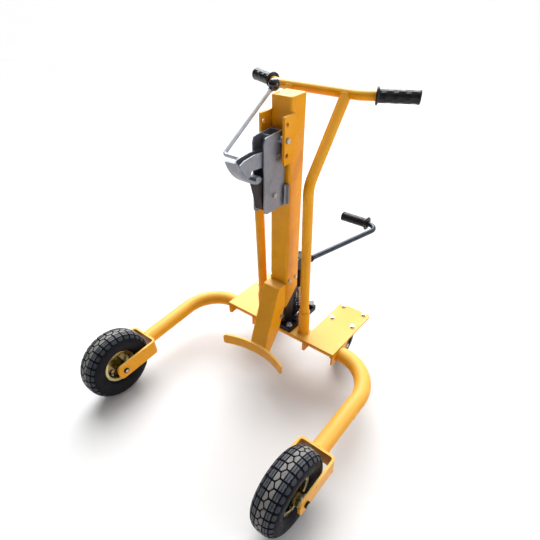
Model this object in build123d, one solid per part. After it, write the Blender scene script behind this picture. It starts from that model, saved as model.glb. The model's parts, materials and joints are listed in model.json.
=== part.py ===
"""Hydraulic drum truck: a wheeled frame that straddles a steel drum, a lifting column with a
rim gripper, and a foot pump that raises it.

Millimetres. The drum side is -Y, the handle and pedal are at +Y, X runs across the truck and
+Z is up. The floor is z = 0, and the origin is the middle of the rectangle that the truck
covers on the floor. "Right" is +X.
"""

from build123d import *

import math
import os

# Overall layout
COLUMN_FRONT = 19.5          # y of the lifting column's front face
WHEEL_R = 130.0              # front tyre, outside
WHEEL_X = 385.0
WHEEL_Y = COLUMN_FRONT - 461.0
CROSS_Y = COLUMN_FRONT + 48.0
DECK_TOP = 195.0
DECK_T = 6.0
SIDES = (("left", -1), ("right", 1))

# Round tube frame
TUBE_R = 27.0
TUBE_WALL = 3.5
CROSS_Z = DECK_TOP - DECK_T - TUBE_R
LEG_BEND_R = 140.0
LEG_START = WHEEL_X - LEG_BEND_R
WELD_GAP = 0.02              # between faces that are welded together
# The legs and forks slope down from the cross tube to the front axles.
LEG_SLOPE = math.degrees(math.atan2(CROSS_Z - WHEEL_R, CROSS_Y - WHEEL_Y))
LEG_REACH = math.hypot(CROSS_Z - WHEEL_R, CROSS_Y - WHEEL_Y)

# Deck
PLATE_IN = 113.0
PLATE_OUT = 238.0
PLATE_FRONT = COLUMN_FRONT - 4.0
PLATE_REAR = COLUMN_FRONT + 261.0
CENTRE_REAR = COLUMN_FRONT + 57.0
GUSSET_T = 6.0

# Wheel forks
FORK_T = 8.0
FORK_H = 58.0
FORK_IN = 53.0               # half the gap between a fork's arms
FORK_GAP = 11.0              # tyre to the fork's back
FORK_NOSE_CORNER = 17.0
FORK_NOSE = 29.0             # fork arm past the axle

# Push handle
UPRIGHT_X = 91.0
UPRIGHT_R = 15.5
UPRIGHT_WALL = 2.5
UPRIGHT_FOOT = (COLUMN_FRONT + 36.3, DECK_TOP)
UPRIGHT_BEND = (COLUMN_FRONT + 11.0, 753.0)
HANDLE = (COLUMN_FRONT + 168.0, 956.0)
UPRIGHT_BEND_R = 70.0
SOCKET_R = 19.5
SOCKET_H = 98.0
BAR_R = 12.5
BAR_STRAIGHT = 128.0
BAR_SWEEP = 23.8
BAR_END = 266.0
BAR_BEND_R = 40.0
GRIP_LENGTH = 111.0
GRIP_R = 16.5
GRIP_FLANGE_R = 22.5

# Front wheels
AXLE_R = 6.0
AXLE_HEX = 18.0
AXLE_HEAD = 7.0
HUB_HALF = 46.0
HUB_R = 22.0
BEARING_R = 16.0
BEARING_W = 10.0
BEARING_GAP = 0.05
RIM_FLANGE_R = 62.0
RIM_SEAT_R = 52.0
RIM_HALF = 28.0
RIM_T = 2.5
RIM_BOLT_CIRCLE = 36.0
RIM_BOLTS = 4
TYRE_HALF = 43.0

# Casters
CASTER_X = 174.0
CASTER_Y = COLUMN_FRONT + 206.0
CASTER_PITCH = 84.0
CASTER_PLATE = 106.0
CASTER_R = 75.0
CASTER_W = 28.0
CASTER_TRAIL = 22.0
CASTER_BOLT_R = 4.0
CASTER_LEG_IN = 18.0         # half the gap between the fork's legs
KINGPIN_R = 6.0
CASTER_AXLE_R = 5.0

# Lifting column and the parts inside it
COLUMN_W = 68.0
COLUMN_WALL = 5.0
COLUMN_CORNER = 8.0
COLUMN_TOP = 974.0
COLUMN_FOOT = 298.0
COLUMN_MID = COLUMN_FRONT + COLUMN_W / 2
MAST_W = 50.0
MAST_WALL = 4.0
MAST_TOP = 700.0
CYLINDER_R = 19.0
CYLINDER_BORE = 15.0
CYLINDER_TOP = 640.0
ROD_R = 10.0
ROD_FOOT = 245.0

# Drum cradle: the belly plate follows the wall of a 572 mm steel drum.
DRUM_R = 286.0
BELLY_T = 8.0
BELLY_LOW = 150.0
BELLY_HIGH = 190.0
BELLY_HALF_ANGLE = 26.4
BELLY_FRONT = 123.0          # ahead of the column's front face
ARM_HALF_W = 33.0

# Gripper: distances are ahead of the column's front face
BRACKET_IN = 34.0
BRACKET_T = 8.0
BRACKET_HOLES = ((28.0, 838.0), (28.0, 877.0), (28.0, 916.0))
BRACKET_HOLE_R = 6.5
HANG_PIN = BRACKET_HOLES[1]
HANG_BOLT_R = 4.0
JAW_PIN = (40.0, 836.0)
LOWER_PIN = (53.0, 731.0)
PIN_R = 5.0
PIN_GAP = 0.06
HOUSING_OUT = 20.0
HOUSING_T = 4.0
JAW_ARM_OUT = 13.0
JAW_ARM_T = 4.0
RAMP_HALF_W = 18.0
RAMP_T = 7.5
ROD_WIRE_R = 5.5
ROD_BEND = (-74.0, COLUMN_FRONT - 146.0, 853.5)
KNOB_CENTRE = (-58.0, COLUMN_FRONT + 47.0, 983.0)
KNOB_R = 16.0

# Foot pump
BASE_HALF_W = 57.0
BASE_FRONT = COLUMN_FRONT - 3.0
BASE_REAR = COLUMN_FRONT + 168.0
BASE_TOP = 216.0
PLUNGER_Y = COLUMN_FRONT + 128.0
PLUNGER_R = 7.0
PLUNGER_GAP = 0.05
BARREL_LOW = 150.0
SPRING_LOW = BASE_TOP + 3.0
SPRING_HIGH = 292.0
SLEEVE_LOW = SPRING_HIGH + 15.0
SPRING_R = 11.0
SPRING_WIRE_R = 1.7
SPRING_TURNS = 9.0
PEDAL_PIVOT = (COLUMN_FRONT + 85.0, 425.0)
ROLLER = (PLUNGER_Y, 400.0)
ROLLER_R = 11.0
PEDAL_ROOT = (14.0, COLUMN_FRONT + 140.0, 413.0)
PEDAL_BEND = (101.0, COLUMN_FRONT + 526.0, 403.0)
PEDAL_BAR_R = 9.5
PEDAL_BEND_R = 40.0
PEDAL_GRIP_R = 18.0
PEDAL_FLANGE_R = 26.0
PEDAL_GRIP_RANGE = (-64.0, 50.0)
VALVE = (44.0, COLUMN_FRONT + 150.0)
PUMP_SCREW_R = 5.0

parts = {}


def block(x0, x1, y0, y1, z0, z1):
    """A box between two corners."""
    corner = (min(x0, x1), min(y0, y1), min(z0, z1))
    size = (abs(x1 - x0), abs(y1 - y0), abs(z1 - z0))
    return Pos(*corner) * Box(*size, align=(Align.MIN, Align.MIN, Align.MIN))


def rod_x(radius, x0, x1, y, z):
    """A round bar along X."""
    length = abs(x1 - x0)
    return Pos((x0 + x1) / 2, y, z) * Rot(0, 90, 0) * Cylinder(radius, length)


def rod_z(radius, x, y, z0, z1):
    """A round bar along Z."""
    return Pos(x, y, (z0 + z1) / 2) * Cylinder(radius, abs(z1 - z0))


def hex_x(across_flats, x0, x1, y, z):
    """A hexagonal bar along X."""
    face = Plane(origin=(min(x0, x1), y, z), z_dir=(1, 0, 0)) * RegularPolygon(
        across_flats / math.sqrt(3), 6)
    return extrude(face, abs(x1 - x0), dir=(1, 0, 0))


def hex_z(across_flats, x, y, z0, z1):
    """A hexagonal bar along Z."""
    face = Plane(origin=(x, y, z0)) * RegularPolygon(across_flats / math.sqrt(3), 6)
    return extrude(face, z1 - z0, dir=(0, 0, 1))


def side_plate(points, x0, x1):
    """A plate standing in the side plane. Each point is (ahead of the column front, height)."""
    outline = Polygon(*[(COLUMN_FRONT - reach, height) for reach, height in points])
    return extrude(Plane.YZ.offset(x0) * outline, x1 - x0, dir=(1, 0, 0))


def ahead(point):
    """The y and z of a point given as (ahead of the column front, height)."""
    return COLUMN_FRONT - point[0], point[1]


def both_sides(shape):
    """A shape and its mirror image across the truck's middle plane."""
    return [shape, mirror(shape, Plane.YZ)]


def swept(path, radius, wall=0.0):
    """A round bar along a path, or a tube when a wall is given."""
    start = Plane(origin=path @ 0, z_dir=path % 0)
    section = Circle(radius) - Circle(radius - wall) if wall else Circle(radius)
    return sweep(start * section, path=path)


def slope(shape):
    """Turns a level leg part down to the front axle, about the cross tube."""
    return Pos(0, CROSS_Y, CROSS_Z) * Rot(LEG_SLOPE, 0, 0) * shape


def keep(name, shape):
    """Stores a node. A list becomes a group of separate solids."""
    parts[name] = Compound(children=list(shape)) if isinstance(shape, (list, tuple)) else shape


# ---------------------------------------------------------------- tube frame
def cross_tube():
    tube = rod_x(TUBE_R, -LEG_START, LEG_START, CROSS_Y, CROSS_Z)
    return tube - rod_x(TUBE_R - TUBE_WALL, -LEG_START, LEG_START, CROSS_Y, CROSS_Z)


def leg_tube(side):
    end = -(LEG_REACH - WHEEL_R - FORK_GAP - FORK_T)
    path = FilletPolyline((LEG_START + WELD_GAP, 0, 0), (WHEEL_X, 0, 0), (WHEEL_X, end, 0),
                          radius=LEG_BEND_R - 2 * WELD_GAP)
    tube = slope(swept(path, TUBE_R, TUBE_WALL))
    return tube if side > 0 else mirror(tube, Plane.YZ)


def wheel_fork(side):
    """A flat bar bent round the wheel, with rounded nose corners and the axle holes."""
    out = FORK_IN + FORK_T
    back = -(LEG_REACH - WHEEL_R - FORK_GAP)
    nose = -(LEG_REACH + FORK_NOSE)
    outer = block(-out, out, nose, back + FORK_T, -FORK_H / 2, FORK_H / 2)
    outer = fillet(outer.edges().filter_by(Axis.Z).group_by(Axis.Y)[-1], 16)
    inner = block(-FORK_IN, FORK_IN, nose - 60, back, -FORK_H, FORK_H)
    inner = fillet(inner.edges().filter_by(Axis.Z).group_by(Axis.Y)[-1], 8)
    bar = outer - inner
    bar = fillet(bar.edges().filter_by(Axis.X).group_by(Axis.Y)[0], FORK_NOSE_CORNER)
    bar -= rod_x(AXLE_R + 0.05, -out - 5, out + 5, -LEG_REACH, 0)
    return slope(Pos(side * WHEEL_X, 0, 0) * bar)


def deck():
    """A plate over each caster and one across the middle."""
    side = block(PLATE_IN, PLATE_OUT, PLATE_FRONT, PLATE_REAR, DECK_TOP - DECK_T, DECK_TOP)
    corners = side.edges().filter_by(Axis.Z).group_by(Axis.Y)[-1]
    side = fillet(corners, 10)
    for dx in (-1, 1):
        for dy in (-1, 1):
            side -= rod_z(CASTER_BOLT_R, CASTER_X + dx * CASTER_PITCH / 2,
                          CASTER_Y + dy * CASTER_PITCH / 2, DECK_TOP - 20, DECK_TOP + 20)
    centre = block(-PLATE_IN, PLATE_IN, PLATE_FRONT, CENTRE_REAR, DECK_TOP - DECK_T, DECK_TOP)
    for x, y in pump_bolt_places():
        centre -= rod_z(PUMP_SCREW_R, x, y, DECK_TOP - 20, DECK_TOP + 20)
    keep("deck_plates", both_sides(side) + [centre])


def gussets():
    """Plates under the deck, cut round the cross tube."""
    front = side_plate([(4, 189), (4, 146), (-4, 139), (-34, 139), (-34, 189)], 0, GUSSET_T)
    rear = side_plate([(-62, 189), (-62, 148), (-80, 148), (-96, 176), (-96, 189)], 0, GUSSET_T)
    tube = rod_x(TUBE_R, -50, 50, CROSS_Y, CROSS_Z)
    pair = [front - tube, rear - tube]
    shapes = []
    for x in (PLATE_IN, PLATE_OUT - GUSSET_T):
        for plate in pair:
            shapes += both_sides(Pos(x, 0, 0) * plate)
    return shapes


# ---------------------------------------------------------------- push handle
def upright_axis():
    lean = math.atan2(UPRIGHT_FOOT[0] - UPRIGHT_BEND[0], UPRIGHT_BEND[1] - UPRIGHT_FOOT[1])
    return Plane(origin=(UPRIGHT_X, *UPRIGHT_FOOT), x_dir=(1, 0, 0),
                 z_dir=(0, -math.sin(lean), math.cos(lean)))


def socket():
    """A sleeve on the deck that the upright stands in, with its foot cut level."""
    axis = upright_axis()
    sleeve = axis * Pos(0, 0, SOCKET_H / 2 - 5) * Cylinder(SOCKET_R, SOCKET_H + 10)
    sleeve -= axis * Pos(0, 0, 50) * Cylinder(UPRIGHT_R + 0.2, 200)
    return sleeve & block(0, 200, 0, 200, DECK_TOP, 400)


def upright(side):
    path = FilletPolyline((UPRIGHT_X, *UPRIGHT_FOOT), (UPRIGHT_X, *UPRIGHT_BEND),
                          (UPRIGHT_X, *HANDLE), radius=UPRIGHT_BEND_R)
    tube = swept(path, UPRIGHT_R, UPRIGHT_WALL)
    tube -= rod_x(BAR_R, 0, 200, *HANDLE)
    end = Plane(origin=path @ 1 - path % 1 * 5, z_dir=path % 1)
    tube -= end * Pos(0, 0, 40) * Box(80, 80, 80)
    tube -= block(0, 200, 0, 300, DECK_TOP - 30, DECK_TOP + 1)
    tube = max(tube.solids(), key=lambda solid: solid.volume)
    return tube if side > 0 else mirror(tube, Plane.YZ)


def handle_path():
    """The bar's line: straight in the middle, both ends swept back towards the operator."""
    run = BAR_END - BAR_STRAIGHT
    back = run * math.tan(math.radians(BAR_SWEEP))
    y, z = HANDLE
    return FilletPolyline((-BAR_END, y + back, z), (-BAR_STRAIGHT, y, z), (BAR_STRAIGHT, y, z),
                          (BAR_END, y + back, z), radius=BAR_BEND_R)


def grip_frame(side):
    """A plane at the bar's end, its Z pointing outwards along the swept end."""
    back = (BAR_END - BAR_STRAIGHT) * math.tan(math.radians(BAR_SWEEP))
    angle = math.radians(BAR_SWEEP)
    return Plane(origin=(side * BAR_END, HANDLE[0] + back, HANDLE[1]), x_dir=(0, 0, 1),
                 z_dir=(side * math.cos(angle), math.sin(angle), 0))


def grip(side):
    frame = grip_frame(side)
    sleeve = Pos(0, 0, 4 - GRIP_LENGTH / 2) * Cylinder(GRIP_R, GRIP_LENGTH)
    sleeve += Pos(0, 0, 4 - GRIP_LENGTH + 3) * Cylinder(GRIP_FLANGE_R, 6)
    sleeve += Pos(0, 0, 1.5) * Cylinder(GRIP_R + 1.5, 5)
    bore = Pos(0, 0, -GRIP_LENGTH / 2 - 10) * Cylinder(BAR_R, GRIP_LENGTH + 20)
    return frame * (sleeve - bore)


# ---------------------------------------------------------------- front wheels
def ring(profile):
    """Revolves a closed (along the axle, radius) outline about the X axis."""
    return revolve(Plane.XY * make_face(profile), Axis.X)


def tyre_outline():
    """Half section of the casing: bead, bulging wall, round shoulder, crown and inner face."""
    bead, seat = RIM_HALF - RIM_T - 0.3, RIM_SEAT_R + 0.2
    outer = Spline((bead, RIM_FLANGE_R + 1.5), (TYRE_HALF - 4, 77), (TYRE_HALF, 93),
                   (TYRE_HALF - 4, 113), (TYRE_HALF - 15, 125), (0, WHEEL_R),
                   tangents=[(0.6, 1), (-1, 0)])
    inner = Spline((0, WHEEL_R - 16), (TYRE_HALF - 14, 108), (TYRE_HALF - 9, 93),
                   (bead - 9, seat + 4), tangents=[(1, 0), (-0.7, -1)])
    return [Line((bead, seat), (bead, RIM_FLANGE_R + 1.5)), outer,
            Line((0, WHEEL_R), (0, WHEEL_R - 16)), inner,
            Line((bead - 9, seat + 4), (bead - 9, seat)), Line((bead - 9, seat), (bead, seat))]


def tyre():
    half = ring(tyre_outline())
    return half + mirror(half, Plane.YZ)


def rim_half():
    """A pressed dish: disc at the middle, well, bead seat and flange."""
    well = RIM_SEAT_R - RIM_T
    outline = Polyline((0.1, HUB_R + 0.1), (RIM_T, HUB_R + 0.1), (RIM_T, well - 6), (8, well),
                       (RIM_HALF - RIM_T, well), (RIM_HALF, well + RIM_T), (RIM_HALF, RIM_FLANGE_R),
                       (RIM_HALF - RIM_T, RIM_FLANGE_R), (RIM_HALF - RIM_T, RIM_SEAT_R),
                       (7, RIM_SEAT_R), (0.1, well - 5), close=True)
    half = ring([outline])
    for index in range(RIM_BOLTS):
        half -= rim_bolt_place(index) * Rot(0, 90, 0) * Cylinder(4.1, 30)
    return half


def rim_bolt_place(index):
    angle = math.radians(45 + 360 / RIM_BOLTS * index)
    return Pos(0, RIM_BOLT_CIRCLE * math.cos(angle), RIM_BOLT_CIRCLE * math.sin(angle))


def rim_bolt():
    """A bolt through both dish halves, with its nut."""
    bolt = rod_x(4, -RIM_T - 6, RIM_T, 0, 0) + hex_x(13, RIM_T + 0.02, RIM_T + 5, 0, 0)
    bolt += rod_x(4, RIM_T, RIM_T + 1, 0, 0)
    nut = hex_x(13, -RIM_T - 5, -RIM_T - 0.02, 0, 0) - rod_x(4, -20, 0, 0, 0)
    return [bolt, nut]


def hub():
    body = rod_x(HUB_R, -HUB_HALF, HUB_HALF, 0, 0) - rod_x(13, -60, 60, 0, 0)
    for end in (-1, 1):
        body -= rod_x(BEARING_R + 0.01, end * (HUB_HALF - BEARING_W), end * 60, 0, 0)
    return body


def bearing(end):
    seat = rod_x(BEARING_R, end * (HUB_HALF - BEARING_W + 0.02), end * HUB_HALF, 0, 0)
    return seat - rod_x(AXLE_R + BEARING_GAP, -60, 60, 0, 0)


def front_wheel(name, side):
    centre = Pos(side * WHEEL_X, WHEEL_Y, WHEEL_R)
    keep(f"{name}_tyre", centre * tyre())
    half = rim_half()
    keep(f"{name}_rim", [centre * half, centre * mirror(half, Plane.YZ)])
    keep(f"{name}_hub", centre * hub())
    keep(f"{name}_bearings", [centre * bearing(end) for end in (-1, 1)])
    keep(f"{name}_rim_bolts", [centre * rim_bolt_place(index) * piece
                               for index in range(RIM_BOLTS) for piece in rim_bolt()])


def axles():
    """Axle bolts with nuts at their right ends, and the spacers beside the bearings."""
    hardware = []
    out = FORK_IN + FORK_T
    for _, side in SIDES:
        centre = Pos(side * WHEEL_X, WHEEL_Y, WHEEL_R)
        bolt = rod_x(AXLE_R, -out - 0.5, out + AXLE_HEAD, 0, 0)
        bolt += hex_x(AXLE_HEX, -out - AXLE_HEAD, -out - 0.02, 0, 0)
        nut = hex_x(AXLE_HEX, out + 0.02, out + AXLE_HEAD - 1, 0, 0)
        nut -= rod_x(AXLE_R + 0.01, 0, 80, 0, 0)
        hardware += [centre * bolt, centre * nut]
        for end in (-1, 1):
            spacer = rod_x(11, end * (HUB_HALF + 0.3), end * (FORK_IN - 0.02), 0, 0)
            hardware.append(centre * (spacer - rod_x(AXLE_R + 0.02, -80, 80, 0, 0)))
    keep("axle_hardware", hardware)


# ---------------------------------------------------------------- casters
def caster_plate():
    """Top plate with the swivel race under it and the kingpin with its head."""
    top = DECK_TOP - DECK_T
    half = CASTER_PLATE / 2
    plate = block(CASTER_X - half, CASTER_X + half, CASTER_Y - half, CASTER_Y + half, top - 4, top)
    plate = fillet(plate.edges().filter_by(Axis.Z), 10)
    for dx in (-1, 1):
        for dy in (-1, 1):
            plate -= rod_z(CASTER_BOLT_R, CASTER_X + dx * CASTER_PITCH / 2,
                           CASTER_Y + dy * CASTER_PITCH / 2, top - 20, top + 20)
    plate += rod_z(32, CASTER_X, CASTER_Y, top - 11, top - 4)
    plate += rod_z(KINGPIN_R, CASTER_X, CASTER_Y, top - 23, top - 10)
    return plate + rod_z(9.5, CASTER_X, CASTER_Y, top - 25.5, top - 20.5)


def caster_fork():
    """Swivelling crown and two legs that carry the caster's axle."""
    top = DECK_TOP - DECK_T - 11.4
    wheel_y = CASTER_Y - CASTER_TRAIL
    crown = rod_z(31, CASTER_X, CASTER_Y, top - 5, top)
    half = CASTER_LEG_IN + 4
    crown += block(CASTER_X - half, CASTER_X + half, CASTER_Y - 34, CASTER_Y + 18, top - 4, top)
    leg = Polygon((CASTER_Y - 34, top), (CASTER_Y + 18, top), (wheel_y + 13, CASTER_R - 8),
                  (wheel_y, CASTER_R - 15), (wheel_y - 13, CASTER_R - 8))
    for side in (-1, 1):
        leg_x = CASTER_X + (CASTER_LEG_IN if side > 0 else -CASTER_LEG_IN - 4)
        crown += extrude(Plane.YZ.offset(leg_x) * leg, 4, dir=(1, 0, 0))
    crown -= rod_x(CASTER_AXLE_R + 0.02, CASTER_X - 40, CASTER_X + 40, wheel_y, CASTER_R)
    return crown - rod_z(KINGPIN_R + 0.06, CASTER_X, CASTER_Y, top - 40, top + 20)


def caster_axle():
    y = CASTER_Y - CASTER_TRAIL
    out = CASTER_LEG_IN + 4
    pin = rod_x(CASTER_AXLE_R, CASTER_X - out - 7, CASTER_X + out + 0.5, y, CASTER_R)
    pin += hex_x(16, CASTER_X + out + 0.02, CASTER_X + out + 6, y, CASTER_R)
    nut = hex_x(16, CASTER_X - out - 6, CASTER_X - out - 0.02, y, CASTER_R)
    return [pin, nut - rod_x(CASTER_AXLE_R + 0.01, CASTER_X - 40, CASTER_X, y, CASTER_R)]


def caster_wheel():
    """A tread with rounded edges on a core whose hub reaches between the legs."""
    y = CASTER_Y - CASTER_TRAIL
    half = CASTER_W / 2
    wheel = rod_x(CASTER_R, -half, half, 0, 0)
    wheel = fillet(wheel.edges().filter_by(GeomType.CIRCLE), 7)
    for side in (-1, 1):
        recess = rod_x(CASTER_R - 20, side * 8, side * 30, 0, 0) - rod_x(18, -30, 30, 0, 0)
        wheel -= recess
    wheel += rod_x(16, 0.4 - CASTER_LEG_IN, CASTER_LEG_IN - 0.4, 0, 0)
    return Pos(CASTER_X, y, CASTER_R) * (wheel - rod_x(CASTER_AXLE_R + 0.06, -30, 30, 0, 0))


def casters():
    keep("caster_plates", both_sides(caster_plate()))
    for name, side in SIDES:
        flip = (lambda shape: shape) if side > 0 else (lambda shape: mirror(shape, Plane.YZ))
        keep(f"{name}_caster_fork", flip(caster_fork()))
        keep(f"{name}_caster_axle", [flip(piece) for piece in caster_axle()])
        keep(f"{name}_caster_wheel", flip(caster_wheel()))


def pump_bolt_places():
    return [(side * 44, COLUMN_FRONT + y) for side in (-1, 1) for y in (10, 46)]


def deck_bolts():
    """Bolts with nuts that hold the casters, and cap screws that hold the pump base."""
    shapes = []
    low = DECK_TOP - DECK_T - 4
    for dx in (-1, 1):
        for dy in (-1, 1):
            x = CASTER_X + dx * CASTER_PITCH / 2
            y = CASTER_Y + dy * CASTER_PITCH / 2
            bolt = rod_z(CASTER_BOLT_R, x, y, low - 8, DECK_TOP + 1)
            bolt += rod_z(8, x, y, DECK_TOP + 0.02, DECK_TOP + 1.6)
            bolt += hex_z(13, x, y, DECK_TOP + 1.5, DECK_TOP + 7)
            nut = hex_z(13, x, y, low - 7, low - 0.02)
            nut -= rod_z(CASTER_BOLT_R, x, y, low - 20, low + 5)
            shapes += both_sides(bolt) + both_sides(nut)
    for x, y in pump_bolt_places():
        screw = rod_z(PUMP_SCREW_R, x, y, DECK_TOP - DECK_T + 0.5, BASE_TOP + 1)
        screw += rod_z(11, x, y, BASE_TOP + 0.02, BASE_TOP + 2)
        screw += rod_z(8, x, y, BASE_TOP + 1.9, BASE_TOP + 9)
        screw -= hex_z(8, x, y, BASE_TOP + 4, BASE_TOP + 12)
        shapes.append(screw)
    return shapes


# ---------------------------------------------------------------- lifting column
def square_bar(width, z0, z1, corner):
    half = width / 2
    bar = block(-half, half, COLUMN_MID - half, COLUMN_MID + half, z0, z1)
    return fillet(bar.edges().filter_by(Axis.Z), corner)


def lift_column():
    """A square tube with a closed top and a foot cut at 45 degrees."""
    tube = square_bar(COLUMN_W, COLUMN_FOOT - 40, COLUMN_TOP, COLUMN_CORNER)
    tube = fillet(tube.faces().sort_by(Axis.Z)[-1].edges(), 4)
    inner = square_bar(COLUMN_W - 2 * COLUMN_WALL, COLUMN_FOOT - 80, COLUMN_TOP - COLUMN_WALL, 1.5)
    tube -= inner
    foot = side_plate([(30, COLUMN_FOOT - 30), (30, COLUMN_FOOT - 100), (-100, COLUMN_FOOT - 100),
                       (-100, COLUMN_FOOT + 100)], -60, 60)
    tube -= foot
    for y in (COLUMN_MID - 18, COLUMN_MID + 18):
        tube -= rod_x(4.05, -50, 50, y, 404)
    return tube


def belly_arm():
    """A welded box that carries the belly plate, leaning forward off the column's foot."""
    outline = [(38, 400), (0.02, 400), (0.02, 326), (35, 226), (87, 154), (120, 154), (120, 178)]
    hollow = [(34, 395), (5, 395), (5, 330), (41, 228), (90, 140), (112, 140), (112, 176)]
    arm = side_plate(outline, -ARM_HALF_W, ARM_HALF_W)
    front = arm.faces().filter_by(lambda face: face.normal_at().Y < -0.5).sort_by(Axis.Z)[-1]
    arm = fillet(front.edges(), 4)
    arm -= side_plate(hollow, -ARM_HALF_W + 5, ARM_HALF_W - 5)
    centre_y = COLUMN_FRONT - BELLY_FRONT - DRUM_R
    return arm - rod_z(DRUM_R + BELLY_T, 0, centre_y, 100, BELLY_HIGH + 0.02)


def belly_plate():
    """A flat bar rolled to the drum's radius, with rounded ends."""
    centre_y = COLUMN_FRONT - BELLY_FRONT - DRUM_R
    band = rod_z(DRUM_R + BELLY_T, 0, centre_y, BELLY_LOW, BELLY_HIGH)
    band -= rod_z(DRUM_R, 0, centre_y, BELLY_LOW - 5, BELLY_HIGH + 5)
    reach = DRUM_R * math.sin(math.radians(BELLY_HALF_ANGLE)) + 3
    window = block(-reach, reach, centre_y, centre_y + 400, BELLY_LOW, BELLY_HIGH)
    window = fillet(window.edges().filter_by(Axis.Y), 9)
    return band & window


def gripper_bracket():
    """One ear of the pair on the column's sides, with a row of hanging holes."""
    outline = [(37, 936), (39, 934), (39, 816), (37, 814), (-10, 814), (-10, 936)]
    ear = side_plate(outline, BRACKET_IN + 0.02, BRACKET_IN + BRACKET_T)
    for hole in BRACKET_HOLES:
        ear -= rod_x(BRACKET_HOLE_R, 0, 80, *ahead(hole))
    return ear


def column_bolts():
    """Round heads that hold the guide pads, and hex bolts on the arm's sides."""
    shapes = []
    outside = COLUMN_W / 2
    for y in (COLUMN_MID - 18, COLUMN_MID + 18):
        head = rod_x(7, outside + 0.02, outside + 4, y, 404)
        head = fillet(head.edges().filter_by(GeomType.CIRCLE).sort_by(Axis.X)[-1], 3)
        bolt = head + rod_x(4, outside - COLUMN_WALL + 0.5, outside + 1, y, 404)
        shapes += both_sides(bolt)
    y, z = ahead((24, 278))
    hex_bolt = hex_x(13, ARM_HALF_W + 1.5, ARM_HALF_W + 6.5, y, z)
    hex_bolt += rod_x(9, ARM_HALF_W + 0.02, ARM_HALF_W + 1.7, y, z)
    return shapes + both_sides(hex_bolt)


def guide_pads():
    """Slippery pads between the column and the mast inside it, on all four sides."""
    outside = COLUMN_W / 2 - COLUMN_WALL - 0.05
    inside = MAST_W / 2 + 0.25
    pads = both_sides(block(inside, outside, COLUMN_MID - 22, COLUMN_MID + 22, 392, 440))
    for end in (-1, 1):
        near = COLUMN_MID + end * inside
        far = COLUMN_MID + end * outside
        pads.append(block(-20, 20, near, far, 392, 440))
    return pads


def piston_rod():
    """The ram's rod, fixed to the column's cap, with its piston at the foot."""
    rod = rod_z(ROD_R, 0, COLUMN_MID, ROD_FOOT, COLUMN_TOP - COLUMN_WALL - 0.02)
    return rod + rod_z(CYLINDER_BORE - 0.05, 0, COLUMN_MID, ROD_FOOT, ROD_FOOT + 18)


def inner_mast():
    tube = square_bar(MAST_W, BASE_TOP + 0.02, MAST_TOP, 4)
    return tube - square_bar(MAST_W - 2 * MAST_WALL, BASE_TOP - 20, MAST_TOP + 20, 1)


def lift_cylinder():
    """Cylinder with a closed foot and a gland that guides the rod."""
    tube = rod_z(CYLINDER_R, 0, COLUMN_MID, BASE_TOP + 0.02, CYLINDER_TOP)
    tube -= rod_z(CYLINDER_BORE, 0, COLUMN_MID, BASE_TOP + 12, CYLINDER_TOP - 20)
    return tube - rod_z(ROD_R + 0.05, 0, COLUMN_MID, BASE_TOP + 30, CYLINDER_TOP + 10)


# ---------------------------------------------------------------- gripper
def gripper_housing():
    """Two side plates joined by a rear web and a spreader, hung on the brackets."""
    outline = [(96, 693), (96, 881), (90, 894), (82, 896), (6, 899), (6, 686), (86, 686)]
    housing = side_plate(outline, HOUSING_OUT - HOUSING_T, HOUSING_OUT)
    housing += mirror(housing, Plane.YZ)
    inside = HOUSING_OUT - HOUSING_T
    housing += side_plate([(22, 690), (22, 898), (18, 898), (18, 690)], -inside, inside)
    housing += side_plate([(61, 881), (61, 894), (57, 894), (57, 881)], -inside, inside)
    for pin, radius in ((HANG_PIN, HANG_BOLT_R), (JAW_PIN, PIN_R), (LOWER_PIN, PIN_R)):
        housing -= rod_x(radius + 0.02, -40, 40, *ahead(pin))
    return housing


def gripper_pins():
    """Hanging bolt with its nut and stepped sleeves, and the jaw pins with round heads."""
    y, z = ahead(HANG_PIN)
    out = BRACKET_IN + BRACKET_T
    bolt = rod_x(HANG_BOLT_R, -out - 8, out + 0.5, y, z) + hex_x(13, out + 0.02, out + 6, y, z)
    nut = hex_x(13, -out - 7, -out - 0.02, y, z) - rod_x(HANG_BOLT_R + 0.01, -80, 0, y, z)
    sleeve = rod_x(10, HOUSING_OUT + 0.02, BRACKET_IN, y, z)
    sleeve += rod_x(BRACKET_HOLE_R - 0.05, BRACKET_IN - 1, out - 0.1, y, z)
    sleeve -= rod_x(HANG_BOLT_R + 0.01, 0, 80, y, z)
    shapes = [bolt, nut] + both_sides(sleeve)
    for pin in (JAW_PIN, LOWER_PIN):
        y, z = ahead(pin)
        shaft = rod_x(PIN_R, -HOUSING_OUT - 1, HOUSING_OUT + 1, y, z)
        for end in (-1, 1):
            head = rod_x(7, end * (HOUSING_OUT + 0.02), end * (HOUSING_OUT + 5), y, z)
            shaft += head
        shapes.append(shaft)
    return shapes


def rear_channel():
    """A pressed channel on the column's face that the housing rests against."""
    web = side_plate([(0.02, 688), (0.02, 748), (3, 748), (3, 688)], -33, 33)
    flange = side_plate([(2.5, 688), (2.5, 748), (15, 748), (15, 688)], 25, 28)
    return web + flange + mirror(flange, Plane.YZ)


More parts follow.
